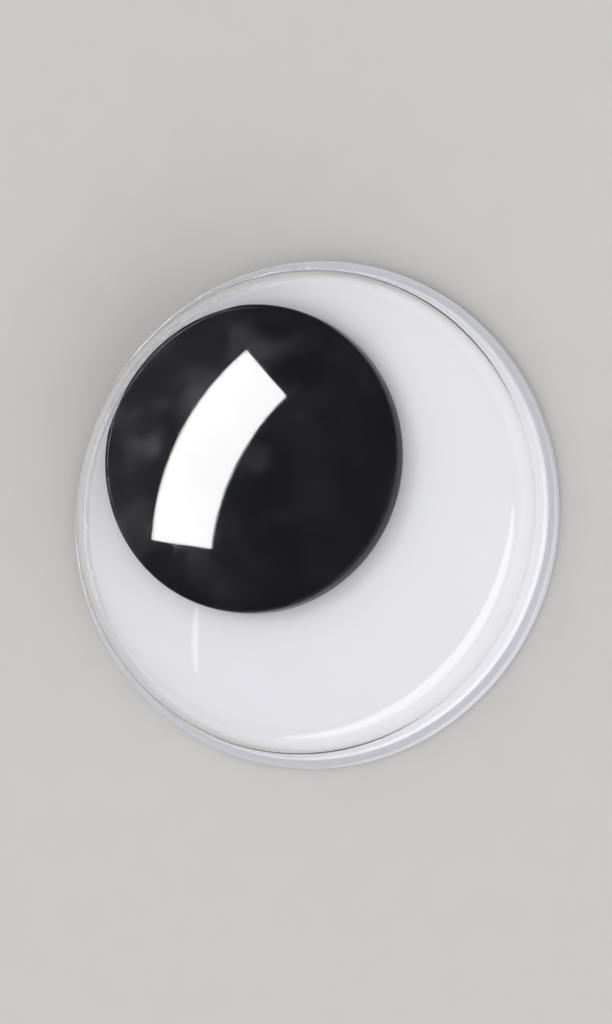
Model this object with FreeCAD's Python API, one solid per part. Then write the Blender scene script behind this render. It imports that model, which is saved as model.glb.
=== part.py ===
import FreeCAD, Part
import math
import os

# Googly eye, 20 mm across, in millimetres.
# The origin is the centre of the back's underside, +Z is the way the eye looks, +Y is up in its picture.
# A thin clear sheet is formed into a dome with a flat rim, and that rim is sealed to a round white back.
# The black pupil lies loose on the back, inside the dome, and slides round its wall.

# The whole eye
outer_diameter = 20.0

# White back, a punched disc whose rim is pressed thinner from below by the sealing tool
back_thickness = 0.45
back_edge_bevel = 0.06
seal_depth = 0.05
seal_slope_width = 0.12

# Clear dome
sheet_thickness = 0.2
flange_width = 0.35
foot_radius = 0.15
wall_height = 0.9
wall_draft_deg = 6.0
shoulder_radius = 2.0
crown_radius = 20.0

# Pupil
pupil_diameter = 12.15
pupil_thickness = 0.9
pupil_edge_bevel = 0.15
pupil_bearing_deg = 138.0

# Clearances of the loose pupil
clearance_under_pupil = 0.02
clearance_beside_pupil = 0.05

outer_radius = outer_diameter / 2
wall_draft = math.radians(wall_draft_deg)
flange_top = back_thickness + sheet_thickness
centre_line = FreeCAD.Vector(0, 0, 0)
upward = FreeCAD.Vector(0, 0, 1)


def at(radius, height):
    """A point of a profile, in the XZ plane."""
    return FreeCAD.Vector(radius, 0, height)


def along(centre, radius, angle):
    """The point of an arc at this angle above the outward direction."""
    return centre + at(radius * math.cos(angle), radius * math.sin(angle))


def arc(centre, radius, start, end):
    """An arc edge about centre, from one angle to another."""
    middle = (start + end) / 2
    points = [along(centre, radius, angle) for angle in (start, middle, end)]
    return Part.Arc(*points).toShape()


def line(start, end):
    return Part.LineSegment(start, end).toShape()


def bevel(centre, radius, start, end):
    """A straight edge in an arc's place, which touches the arc at its middle and ends on the lines beside it."""
    quarter = (end - start) / 4
    reach = radius / math.cos(quarter)
    return line(along(centre, reach, start + quarter), along(centre, reach, end - quarter))


def turned(edges):
    """The solid that a closed profile makes when it is turned about the centre line."""
    profile = Part.Face(Part.Wire(Part.__sortEdges__(edges)))
    return profile.revolve(centre_line, upward, 360)


def wall_radius(height, depth):
    """The wall's radius at a height above the back, on the surface that lies depth inside the sheet."""
    foot = outer_radius - flange_width - depth / math.cos(wall_draft)
    return foot - (height - flange_top) * math.tan(wall_draft)


def sheet_surface(depth):
    """The edges of one surface of the formed sheet, from the top of the crown out to the rim.

    Depth 0 is the outside. Every bend keeps its centre on both sides, so the sheet is equally thick.
    Only the inside of the foot is bevelled, where the seal presses the sheet on the back.
    """
    facing = wall_draft
    foot_bend = foot_radius + depth
    shoulder_bend = shoulder_radius - depth
    crown_bend = crown_radius - depth
    foot_reach = foot_radius * (1 - math.sin(facing)) / math.cos(facing)
    foot_centre = at(outer_radius - flange_width + foot_reach, flange_top + foot_radius)
    shoulder_start = at(wall_radius(flange_top + wall_height, 0), flange_top + wall_height)
    shoulder_centre = shoulder_start - at(shoulder_radius * math.cos(facing), shoulder_radius * math.sin(facing))
    between_centres = crown_radius - shoulder_radius
    crown_angle = math.acos(shoulder_centre.x / between_centres)
    crown_centre = at(0, shoulder_centre.z - between_centres * math.sin(crown_angle))
    right_angle = math.pi / 2
    wall_top = along(shoulder_centre, shoulder_bend, facing)
    foot_edge = bevel if depth else arc
    foot = foot_edge(foot_centre, foot_bend, facing + math.pi, 3 * right_angle)
    wall_foot = foot.firstVertex().Point
    flange_start = foot.lastVertex().Point
    return [
        arc(crown_centre, crown_bend, right_angle, crown_angle),
        arc(shoulder_centre, shoulder_bend, crown_angle, facing),
        line(wall_top, wall_foot),
        foot,
        line(flange_start, at(outer_radius, flange_start.z)),
    ]


def make_clear_dome():
    outside = sheet_surface(0)
    inside = sheet_surface(sheet_thickness)
    rim = line(at(outer_radius, flange_top), at(outer_radius, back_thickness))
    top = line(outside[0].firstVertex().Point, inside[0].firstVertex().Point)
    return turned(outside + [rim] + inside + [top])


def make_white_back():
    """The disc, with the pressed ring on its underside as wide as the dome's flange."""
    seal_radius = outer_radius - flange_width
    rim_underside = outer_radius - back_edge_bevel
    rim_side = seal_depth + back_edge_bevel
    outline = [
        line(at(0, 0), at(seal_radius - seal_slope_width, 0)),
        line(at(seal_radius - seal_slope_width, 0), at(seal_radius, seal_depth)),
        line(at(seal_radius, seal_depth), at(rim_underside, seal_depth)),
        line(at(rim_underside, seal_depth), at(outer_radius, rim_side)),
        line(at(outer_radius, rim_side), at(outer_radius, back_thickness)),
        line(at(outer_radius, back_thickness), at(0, back_thickness)),
        line(at(0, back_thickness), at(0, 0)),
    ]
    return turned(outline)


def make_pupil():
    """The loose disc, slid outwards until its top edge meets the dome's wall."""
    underside = back_thickness + clearance_under_pupil
    wall_there = wall_radius(underside + pupil_thickness, sheet_thickness)
    offset = wall_there - clearance_beside_pupil - pupil_diameter / 2
    bearing = math.radians(pupil_bearing_deg)
    place = FreeCAD.Vector(offset * math.cos(bearing), offset * math.sin(bearing), underside)
    disc = Part.makeCylinder(pupil_diameter / 2, pupil_thickness, place)
    rims = [edge for edge in disc.Edges if edge.isClosed()]
    return disc.makeChamfer(pupil_edge_bevel, rims)


nodes = {
    "white_back": make_white_back(),
    "clear_dome": make_clear_dome(),
    "pupil": make_pupil(),
}

os.makedirs("parts", exist_ok=True)
for name, shape in nodes.items():
    shape.exportStep(f"parts/{name}.step")
    size = shape.optimalBoundingBox()
    print(f"{name}: {size.XLength:.2f} x {size.YLength:.2f} x {size.ZLength:.2f} mm, {shape.Volume:.1f} mm3")
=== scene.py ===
import math
import bpy
from mathutils import Matrix, Vector


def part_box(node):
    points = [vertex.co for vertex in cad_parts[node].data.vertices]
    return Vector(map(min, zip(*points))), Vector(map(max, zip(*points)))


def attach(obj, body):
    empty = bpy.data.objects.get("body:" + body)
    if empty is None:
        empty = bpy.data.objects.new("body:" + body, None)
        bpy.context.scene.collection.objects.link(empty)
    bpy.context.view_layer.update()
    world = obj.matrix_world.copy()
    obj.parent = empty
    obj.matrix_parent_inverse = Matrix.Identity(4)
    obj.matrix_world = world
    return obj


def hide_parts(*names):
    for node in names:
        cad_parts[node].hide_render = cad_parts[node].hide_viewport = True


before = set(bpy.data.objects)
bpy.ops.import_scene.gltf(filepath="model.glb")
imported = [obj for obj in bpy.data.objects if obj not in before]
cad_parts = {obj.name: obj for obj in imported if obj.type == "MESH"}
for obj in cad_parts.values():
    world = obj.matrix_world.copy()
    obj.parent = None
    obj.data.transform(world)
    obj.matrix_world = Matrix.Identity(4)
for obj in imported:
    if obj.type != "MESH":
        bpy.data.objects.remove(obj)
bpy.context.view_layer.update()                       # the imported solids, as a fixed frame
mm = 0.001
hair = 0.001 * mm                       # closer than this is the same place

domeLow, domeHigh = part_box("clear_dome")
backLow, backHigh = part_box("white_back")
pupilLow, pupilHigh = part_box("pupil")
outerRadius = (backHigh.x - backLow.x) / 2
print("frame: eye", round(outerRadius * 2 / mm, 2), "mm across,", round(domeHigh.z / mm, 2), "mm high")


# a shader socket that takes part in sums

class Wire:
    def __init__(self, shader, socket):
        self.shader = shader
        self.socket = socket

    def maths(self, operation, *others):
        values = dict(enumerate((self, *others)))
        return self.shader.node("Math", {"operation": operation}, values)

    def __add__(self, other):
        return self.maths("ADD", other)

    def __sub__(self, other):
        return self.maths("SUBTRACT", other)

    def __rsub__(self, other):
        return self.shader.node("Math", {"operation": "SUBTRACT"}, {0: other, 1: self})

    def __mul__(self, other):
        return self.maths("MULTIPLY", other)

    def __pow__(self, other):
        return self.maths("POWER", other)

    __radd__ = __add__
    __rmul__ = __mul__

    def ramp(self, low, high):          # 0 below low, 1 above high, smooth between
        settings = {"interpolation_type": "SMOOTHSTEP"}
        return self.shader.node("MapRange", settings, {"Value": self, "From Min": low, "From Max": high})


class Shader:
    def __init__(self, name, kind="materials", output="OutputMaterial"):
        self.made = getattr(bpy.data, kind).new(name)
        self.made.use_nodes = True
        self.tree = self.made.node_tree
        self.tree.nodes.clear()
        self.output = output

    def node(self, kind, settings=None, sockets=None, out=0):
        made = self.tree.nodes.new("ShaderNode" + kind)
        for key, value in (settings or {}).items():
            setattr(made, key, value)
        for key, value in (sockets or {}).items():
            if isinstance(value, Wire):
                self.tree.links.new(value.socket, made.inputs[key])
            else:
                made.inputs[key].default_value = value
        return Wire(self, made.outputs[out])

    def place(self):                    # where a point of the piece is, in metres
        return self.node("TexCoord", out="Object")

    def noise(self, scale, detail=2.0, stretch=(1, 1, 1), turn=(0, 0, 0)):
        where = self.node("Mapping", None, {"Vector": self.place(), "Rotation": turn, "Scale": stretch})
        return self.node("TexNoise", None, {"Vector": where, "Scale": scale, "Detail": detail})

    def fromCentre(self):               # distance from the eye's axis
        flat = self.node("VectorMath", {"operation": "MULTIPLY"}, {0: self.place(), 1: (1, 1, 0)})
        return self.node("VectorMath", {"operation": "LENGTH"}, {0: flat}, out="Value")

    def tint(self, amount, first, second):
        first, second = (c if isinstance(c, Wire) else (*c, 1) for c in (first, second))
        return self.node("Mix", {"data_type": "RGBA"}, {0: amount, 6: first, 7: second}, out=2)

    def bump(self, height, distance):
        return self.node("Bump", None, {"Height": height, "Distance": distance, "Strength": 1.0})

    def finish(self, surface):
        end = self.tree.nodes.new("ShaderNode" + self.output)
        self.tree.links.new(surface.socket, end.inputs["Surface"])
        return self.made


# modelling helpers

def deselectAll():
    bpy.ops.object.select_all(action="DESELECT")


def editing(piece):
    deselectAll()
    piece.select_set(True)
    bpy.context.view_layer.objects.active = piece
    bpy.ops.object.mode_set(mode="EDIT")
    bpy.ops.mesh.select_all(action="DESELECT")
    bpy.ops.object.mode_set(mode="OBJECT")


# select the faces or edges that pass a test, and stay in edit mode
def facesWhere(piece, test):
    editing(piece)
    bpy.context.tool_settings.mesh_select_mode = (False, False, True)
    for face in piece.data.polygons:
        face.select = test(face)
    bpy.ops.object.mode_set(mode="EDIT")


def edgesWhere(piece, test):
    editing(piece)
    bpy.context.tool_settings.mesh_select_mode = (False, True, False)
    points = piece.data.vertices
    offset = piece.location
    for edge in piece.data.edges:
        edge.select = all(test(points[i].co + offset) for i in edge.vertices)
    bpy.ops.object.mode_set(mode="EDIT")


def onArc(centre, radius, angle):
    return centre[0] + radius * math.cos(angle), centre[1] + radius * math.sin(angle)


def arcPoints(centre, radius, start, end, steps):
    return [onArc(centre, radius, start + (end - start) * i / steps) for i in range(steps + 1)]


def turnSection(name, section, steps, angle=math.tau):
    deselectAll()
    first = section[0]
    bpy.ops.mesh.primitive_plane_add(size=mm, location=(first[0], 0, first[1]))
    piece = bpy.context.object
    piece.name = name
    bpy.context.tool_settings.mesh_select_mode = (True, False, False)
    bpy.ops.object.mode_set(mode="EDIT")
    bpy.ops.mesh.select_all(action="SELECT")
    bpy.ops.mesh.merge(type="CENTER")                     # the plane shrinks to the section's first point
    for here, there in zip(section, section[1:]):
        step = (there[0] - here[0], 0, there[1] - here[1])
        bpy.ops.mesh.extrude_vertices_move(TRANSFORM_OT_translate={"value": step})
    bpy.ops.mesh.select_all(action="SELECT")
    bpy.ops.mesh.spin(steps=steps, angle=angle, center=(0, 0, 0), axis=(0, 0, 1))
    bpy.ops.mesh.select_all(action="SELECT")
    bpy.ops.mesh.remove_doubles(threshold=hair / 5)
    bpy.ops.mesh.normals_make_consistent(inside=False)
    bpy.ops.object.mode_set(mode="OBJECT")
    return piece


def complete(piece, body, node, material, smoothDeg=35):
    deselectAll()
    piece.select_set(True)
    bpy.context.view_layer.objects.active = piece
    bpy.ops.object.transform_apply(location=True, rotation=True, scale=True)
    bpy.ops.object.shade_smooth_by_angle(angle=math.radians(smoothDeg))
    piece.data.name = piece.name
    piece.data.materials.clear()
    piece.data.materials.append(material)
    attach(piece, body)
    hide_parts(node)
    print(piece.name, "done:", len(piece.data.polygons), "faces")


# clear dome: one formed sheet, even in thickness

sheet = {
    "thickness": 0.2 * mm,
    "flangeWidth": 0.35 * mm,
    "footRadius": 0.15 * mm,
    "wallHeight": 0.9 * mm,
    "draftDeg": 6,
    "shoulderRadius": 2 * mm,
    "crownRadius": 20 * mm,
    "cutRounding": 0.04 * mm,
    "turnSteps": 256,
    "crownSteps": 28,
    "shoulderSteps": 28,
    "footSteps": 10,
    "cutSteps": 3,
}


def sheetSide(depth):
    # one surface of the sheet from the crown's top to the flange, depth inside the outer one
    draft = math.radians(sheet["draftDeg"])
    foot = sheet["footRadius"]
    flangeTop = domeLow.z + sheet["thickness"]
    wallFoot = outerRadius - sheet["flangeWidth"]
    footCentre = (wallFoot + foot * (1 - math.sin(draft)) / math.cos(draft), flangeTop + foot)
    shoulder = sheet["shoulderRadius"]
    wallTop = (wallFoot - sheet["wallHeight"] * math.tan(draft), flangeTop + sheet["wallHeight"])
    shoulderCentre = (wallTop[0] - shoulder * math.cos(draft), wallTop[1] - shoulder * math.sin(draft))
    between = sheet["crownRadius"] - shoulder
    meet = math.acos(shoulderCentre[0] / between)
    crownCentre = (0, shoulderCentre[1] - between * math.sin(meet))
    crown = arcPoints(crownCentre, sheet["crownRadius"] - depth, math.pi / 2, meet, sheet["crownSteps"])
    bend = arcPoints(shoulderCentre, shoulder - depth, meet, draft, sheet["shoulderSteps"])
    footBend = arcPoints(footCentre, foot + depth, math.pi + draft, 1.5 * math.pi, sheet["footSteps"])
    return crown + bend[1:] + footBend


def makeDome():
    outside = sheetSide(0)
    inside = sheetSide(sheet["thickness"])
    r = sheet["cutRounding"]
    low, high = domeLow.z, domeLow.z + sheet["thickness"]
    cut = arcPoints((outerRadius - r, high - r), r, math.pi / 2, 0, sheet["cutSteps"]) + [(outerRadius, low)]
    outside[0] = (0, outside[0][1])
    inside[0] = (0, inside[0][1])
    return turnSection("domeSheet", outside + cut + inside[::-1], sheet["turnSteps"])


def clearSheetMaterial():
    look = {
        "ior": 1.5,
        "clear": (0.99, 0.992, 1.0, 1),
        "facingReflection": 0.043,                        # of one surface, seen square on
        "polished": 0.03,
        "scuffed": 0.08,
        "scuffScale": 3500,
        "scuffStretch": (1, 0.06, 1),                     # rubbed lines, long one way
        "scuffTurn": (0, 0, 0.5),
        "scuffCover": (0.66, 0.76),
        "haze": 0.13,
        "hazeRoughness": 0.32,
        "hazeScale": 520,
        "hazeCover": (0.42, 0.72),
        "cutEdge": 0.35,                                  # how much rougher the punched edge is
        "cutStart": 9.92 * mm,
        "cutEnd": 9.98 * mm,
        "wave": 0.0003 * mm,
        "waveScale": 160,
    }
    s = Shader("clearSheet")
    scuffs = s.noise(look["scuffScale"], 2.0, look["scuffStretch"], look["scuffTurn"]).ramp(*look["scuffCover"])
    cut = s.fromCentre().ramp(look["cutStart"], look["cutEnd"])
    roughness = look["polished"] + scuffs * (look["scuffed"] - look["polished"]) + cut * look["cutEdge"]
    normal = s.bump(s.noise(look["waveScale"], 1.0), look["wave"])
    haze = s.noise(look["hazeScale"], 3.0).ramp(*look["hazeCover"])
    formed = s.node("BsdfPrincipled", None, {
        "Base Color": look["clear"],
        "Roughness": roughness,
        "Normal": normal,
        "Coat Weight": haze * look["haze"],
        "Coat Roughness": look["hazeRoughness"],
        "IOR": look["ior"],
        "Transmission Weight": 1.0,
    })
    # light on its way to the back and the pupil goes straight through, less what the surface mirrors
    facing = s.node("LayerWeight", None, {"Blend": 0.5}, out="Facing")
    mirrored = look["facingReflection"] + (1 - look["facingReflection"]) * facing ** 5
    gloss = s.node("BsdfGlossy", {"distribution": "GGX"}, {"Roughness": roughness, "Normal": normal})
    through = s.node("BsdfTransparent", None, {"Color": look["clear"]})
    film = s.node("MixShader", None, {0: mirrored, 1: through, 2: gloss})
    shadowRay = s.node("LightPath", out="Is Shadow Ray")
    diffuseRay = s.node("LightPath", out="Is Diffuse Ray")
    return s.finish(s.node("MixShader", None, {0: shadowRay.maths("MAXIMUM", diffuseRay), 1: formed, 2: film}))


# white back: a punched disc, pressed thinner round its rim from below

back = {
    "sealDepth": 0.05 * mm,
    "sealWidth": 0.35 * mm,
    "slopeWidth": 0.12 * mm,
    "melt": 0.015 * mm,
    "cornerRounding": 0.05 * mm,
    "cornerSteps": 4,
    "sides": 256,
}


def makeBack():
    deselectAll()
    top = backHigh.z + back["melt"]
    low = backLow.z + back["sealDepth"]
    bpy.ops.mesh.primitive_cylinder_add(vertices=back["sides"], radius=outerRadius, depth=top - low,
                                        location=(0, 0, (top + low) / 2))
    piece = bpy.context.object
    piece.name = "whiteBack"
    facesWhere(piece, lambda face: face.normal.z < -0.9)
    bpy.ops.mesh.inset(thickness=back["sealWidth"])
    bpy.ops.mesh.inset(thickness=back["slopeWidth"])
    bpy.ops.transform.translate(value=(0, 0, -back["sealDepth"]))
    bpy.ops.object.mode_set(mode="OBJECT")
    facesWhere(piece, lambda face: face.normal.z > 0.9)
    bpy.ops.mesh.inset(thickness=back["sealWidth"] - back["slopeWidth"])
    bpy.ops.mesh.inset(thickness=back["slopeWidth"])
    bpy.ops.transform.translate(value=(0, 0, -back["melt"]))
    bpy.ops.object.mode_set(mode="OBJECT")
    edgesWhere(piece, lambda p: math.hypot(p.x, p.y) > outerRadius - hair and p.z < low + hair)
    bpy.ops.mesh.bevel(offset=back["cornerRounding"], segments=back["cornerSteps"], affect="EDGES")
    bpy.ops.object.mode_set(mode="OBJECT")
    return piece


def whitePlasticMaterial():
    look = {
        "white": (0.80, 0.80, 0.835),
        "whiter": (0.835, 0.835, 0.86),
        "sealed": (0.56, 0.56, 0.61),                     # painted shade of the dome's foot, on the ring where the hot tool fused the sheet on
        "sealAndFootShadeStart": 9.60 * mm,
        "sealAndFootShadeEnd": 9.72 * mm,
        "sealAndFootShadePatchy": 0.2,
        "cloudScale": 180,
        "roughness": 0.38,
        "roughnessSpread": 0.12,
        "grain": 0.002 * mm,
        "grainScale": 9000,
        "ior": 1.5,
    }
    s = Shader("whitePlastic")
    cloud = s.noise(look["cloudScale"], 3.0)
    grain = s.noise(look["grainScale"], 2.0)
    # painted shade: the rim ring is darker, for the shade at the dome's foot and partly for the fused seal
    sealAndFootShadePatches = (1 - look["sealAndFootShadePatchy"]) + look["sealAndFootShadePatchy"] * cloud
    sealed = s.fromCentre().ramp(look["sealAndFootShadeStart"], look["sealAndFootShadeEnd"]) * sealAndFootShadePatches
    disc = s.tint(cloud, look["white"], look["whiter"])
    shader = s.node("BsdfPrincipled", None, {
        "Base Color": s.tint(sealed, disc, look["sealed"]),
        "Roughness": look["roughness"] + (grain - 0.5) * look["roughnessSpread"],
        "Normal": s.bump(grain, look["grain"]),
        "IOR": look["ior"],
    })
    return s.finish(shader)


# pupil: a loose punched disc

pupil = {
    "topRounding": 0.2 * mm,
    "topSteps": 7,
    "bottomRounding": 0.1 * mm,
    "bottomSteps": 4,
    "sides": 192,
}


def makePupil():
    deselectAll()
    middle = (pupilLow + pupilHigh) / 2
    radius = (pupilHigh.x - pupilLow.x) / 2
    thickness = pupilHigh.z - pupilLow.z
    bpy.ops.mesh.primitive_cylinder_add(vertices=pupil["sides"], radius=radius, depth=thickness, location=middle)
    piece = bpy.context.object
    piece.name = "pupilDisc"
    edgesWhere(piece, lambda p: p.z > pupilHigh.z - hair)
    bpy.ops.mesh.bevel(offset=pupil["topRounding"], segments=pupil["topSteps"], affect="EDGES")
    bpy.ops.object.mode_set(mode="OBJECT")
    edgesWhere(piece, lambda p: p.z < pupilLow.z + hair)
    bpy.ops.mesh.bevel(offset=pupil["bottomRounding"], segments=pupil["bottomSteps"], affect="EDGES")
    bpy.ops.object.mode_set(mode="OBJECT")
    return piece


def blackPlasticMaterial():
    look = {
        "black": (0.004, 0.004, 0.006),
        "blueBlack": (0.007, 0.007, 0.011),
        "smooth": 0.12,
        "rough": 0.16,
        "mottleScale": 500,
        "mottleCover": (0.3, 0.75),
        "grain": 0.002 * mm,
        "grainScale": 7000,
        "ior": 1.5,
        "specularLevel": 0.15,
    }
    s = Shader("blackPlastic")
    mottle = s.noise(look["mottleScale"], 2.0).ramp(*look["mottleCover"])
    grain = s.noise(look["grainScale"], 2.0)
    shader = s.node("BsdfPrincipled", None, {
        "Base Color": s.tint(mottle, look["black"], look["blueBlack"]),
        "Roughness": look["smooth"] + mottle * (look["rough"] - look["smooth"]),
        "Normal": s.bump(grain, look["grain"]),
        "IOR": look["ior"],
        "Specular IOR Level": look["specularLevel"],
    })
    return s.finish(shader)


complete(makeDome(), "shell", "clear_dome", clearSheetMaterial())
complete(makeBack(), "shell", "white_back", whitePlasticMaterial())
complete(makePupil(), "loose_pupil", "pupil", blackPlasticMaterial())


# stage: a pale floor, softboxes and a room that looks dim where gloss mirrors it

room = {
    "floorSize": 12.0,
    "lightDistance": 1.5,
    "floorPale": (0.55, 0.54, 0.52),
    "floorPaler": (0.58, 0.57, 0.55),
    "floorGrainScale": 600,
    "floorRoughness": 0.8,
    "mirroredColour": (0.90, 0.94, 1.0),
    "mirroredStrength": 0.07,                             # what gloss sees, so the pupil stays black
    "softColour": (1.0, 0.99, 0.985),
    "softStrength": 0.54,                                 # the even light on everything
    "backdrop": (0.56, 0.56, 0.55),
}

# "towards" points from the eye to the light, "along" lies on its long side,
# and lengths and widths are for each metre of distance

# a bent softbox at the upper left, whose image is the bright bar on the pupil
keyLight = {
    "towards": (-0.5795, 0.2758, 0.7669),
    "along": (0.4387, 0.8986, 0.0083),
    "bendRadius": 1.9,
    "bendDeg": 21.3,
    "bulge": 0.030,
    "halfWidth": 0.149,
    "steps": 24,
    "radiance": 13.8,
}

# a large soft panel in the same direction, which does the lighting
softLight = {
    "towards": (-0.5795, 0.2758, 0.7669),
    "along": (0.4387, 0.8986, 0.0083),
    "halfLength": 1.0,
    "halfWidth": 1.0,
    "radiance": 0.52,
    "mirrored": False,
}

# a long strip at the lower right, whose image is the crescent
fillLight = {
    "towards": (0.545, -0.784, 0.298),
    "along": (0.78, 0.60, 0.15),
    "halfLength": 1.6,
    "halfWidth": 0.23,
    "radiance": 1.9,
}

# lights the shadows at the lower right, but makes no glare on the sheet
glowLight = {
    "towards": (0.62, -0.70, 0.47),
    "along": (0.72, 0.66, 0.15),
    "halfLength": 1.5,
    "halfWidth": 0.40,
    "radiance": 1.4,
    "mirrored": False,
}

# a narrow strip on the left, whose image lies below the pupil
sideLight = {
    "towards": (-0.645, -0.36, 0.665),
    "along": (-0.01, -0.22, -0.13),
    "halfLength": 0.12,
    "halfWidth": 0.014,
    "radiance": 1.5,
}


def makeFloor():
    deselectAll()
    bpy.ops.mesh.primitive_plane_add(size=room["floorSize"], location=(0, 0, 0))
    floor = bpy.context.object
    floor.name = "floor"
    s = Shader("paleFloor")
    grain = s.noise(room["floorGrainScale"], 4.0)
    shader = s.node("BsdfPrincipled", None, {
        "Base Color": s.tint(grain, room["floorPale"], room["floorPaler"]),
        "Roughness": room["floorRoughness"],
    })
    floor.data.materials.append(s.finish(shader))


def lightAxes(light):                   # its long side, its short side, and the way to it
    towards = Vector(light["towards"]).normalized()
    along = Vector(light["along"])
    along = (along - along.dot(towards) * towards).normalized()
    return along, towards.cross(along), towards


def addStrip(name, light):
    axes = lightAxes(light)
    distance = room["lightDistance"]
    length = 2 * light["halfLength"] * distance
    width = 2 * light["halfWidth"] * distance
    turn = Matrix(axes).transposed().to_euler()
    deselectAll()
    bpy.ops.object.light_add(type="AREA", location=axes[2] * distance, rotation=turn)
    lamp = bpy.context.object
    lamp.name = name
    lamp.data.shape = "ELLIPSE"                 # its image tapers at both ends
    lamp.data.size = length
    lamp.data.size_y = width
    lamp.data.energy = light["radiance"] * math.pi * (math.pi / 4 * length * width)
    lamp.visible_camera = False
    lamp.visible_glossy = lamp.visible_transmission = light.get("mirrored", True)


def addBentPanel(name, light):          # a softbox curved like a slice of a ring
    along, across, towards = lightAxes(light)
    distance = room["lightDistance"]
    inner = (light["bendRadius"] - light["halfWidth"]) * distance
    outer = (light["bendRadius"] + light["halfWidth"]) * distance
    panel = turnSection(name, [(inner, 0), (outer, 0)], light["steps"], math.radians(light["bendDeg"]))
    bpy.ops.object.transform_apply(location=True, rotation=True, scale=True)
    middle = sum((corner.co for corner in panel.data.vertices), Vector())
    turn = Matrix((along, across, towards)).transposed()
    turn = turn @ Matrix.Rotation(math.pi / 2 - math.atan2(middle.y, middle.x), 3, "Z")
    panel.rotation_euler = turn.to_euler()
    panel.location = distance * (towards + (light["bulge"] - light["bendRadius"]) * across)
    panel.visible_camera = False
    panel.visible_diffuse = False       # it is only mirrored; the soft light beside it does the lighting
    s = Shader(name)
    panel.data.materials.append(s.finish(s.node("Emission", None, {"Strength": light["radiance"]})))


def makeWorld():
    # gloss sees a dim room, matt surfaces get an even soft light,
    # and the camera sees a pale backdrop, also straight through the sheet
    s = Shader("dimRoom", "worlds", "OutputWorld")
    dim = s.node("Background", None, {"Color": (*room["mirroredColour"], 1), "Strength": room["mirroredStrength"]})
    soft = s.node("Background", None, {"Color": (*room["softColour"], 1), "Strength": room["softStrength"]})
    pale = s.node("Background", None, {"Color": (*room["backdrop"], 1), "Strength": 1.0})
    bounced = s.node("LightPath", out="Glossy Depth") + s.node("LightPath", out="Diffuse Depth")
    straight = s.node("LightPath", out="Is Transmission Ray") * (1 - bounced.maths("MINIMUM", 1))
    seen = straight.maths("MAXIMUM", s.node("LightPath", out="Is Camera Ray"))
    around = s.node("MixShader", None, {0: s.node("LightPath", out="Is Diffuse Ray"), 1: dim, 2: soft})
    bpy.context.scene.world = s.finish(s.node("MixShader", None, {0: seen, 1: around, 2: pale}))
    bpy.context.scene.world.cycles.sampling_method = "NONE"       # a sampled light wouldn't know the ray's kind


def lightRoom():
    makeWorld()
    addBentPanel("keyPanel", keyLight)
    addStrip("softPanel", softLight)
    addStrip("fillStrip", fillLight)
    addStrip("glowPanel", glowLight)
    addStrip("sideStrip", sideLight)
    bpy.context.scene.view_settings.view_transform = "Standard"


# camera: to the eye's right and a little below its axis, as in the photograph

view = {
    "direction": (0.3296, -0.0914, 0.9397),
    "distance": 0.45,
    "frameWidth": 24.0 * mm,
    "aim": (0, 0, 1.5 * mm),
}


def addCamera():
    direction = Vector(view["direction"]).normalized()
    turn = Vector((0, 0, 1)).rotation_difference(direction)
    deselectAll()
    bpy.ops.object.camera_add(location=Vector(view["aim"]) + direction * view["distance"], rotation=turn.to_euler())
    camera = bpy.context.object
    camera.data.sensor_fit = "HORIZONTAL"
    camera.data.sensor_width = 36
    camera.data.lens = camera.data.sensor_width * view["distance"] / view["frameWidth"]
    camera.data.clip_start = 0.01
    bpy.context.scene.camera = camera


makeFloor()
lightRoom()
addCamera()
print("stage done")
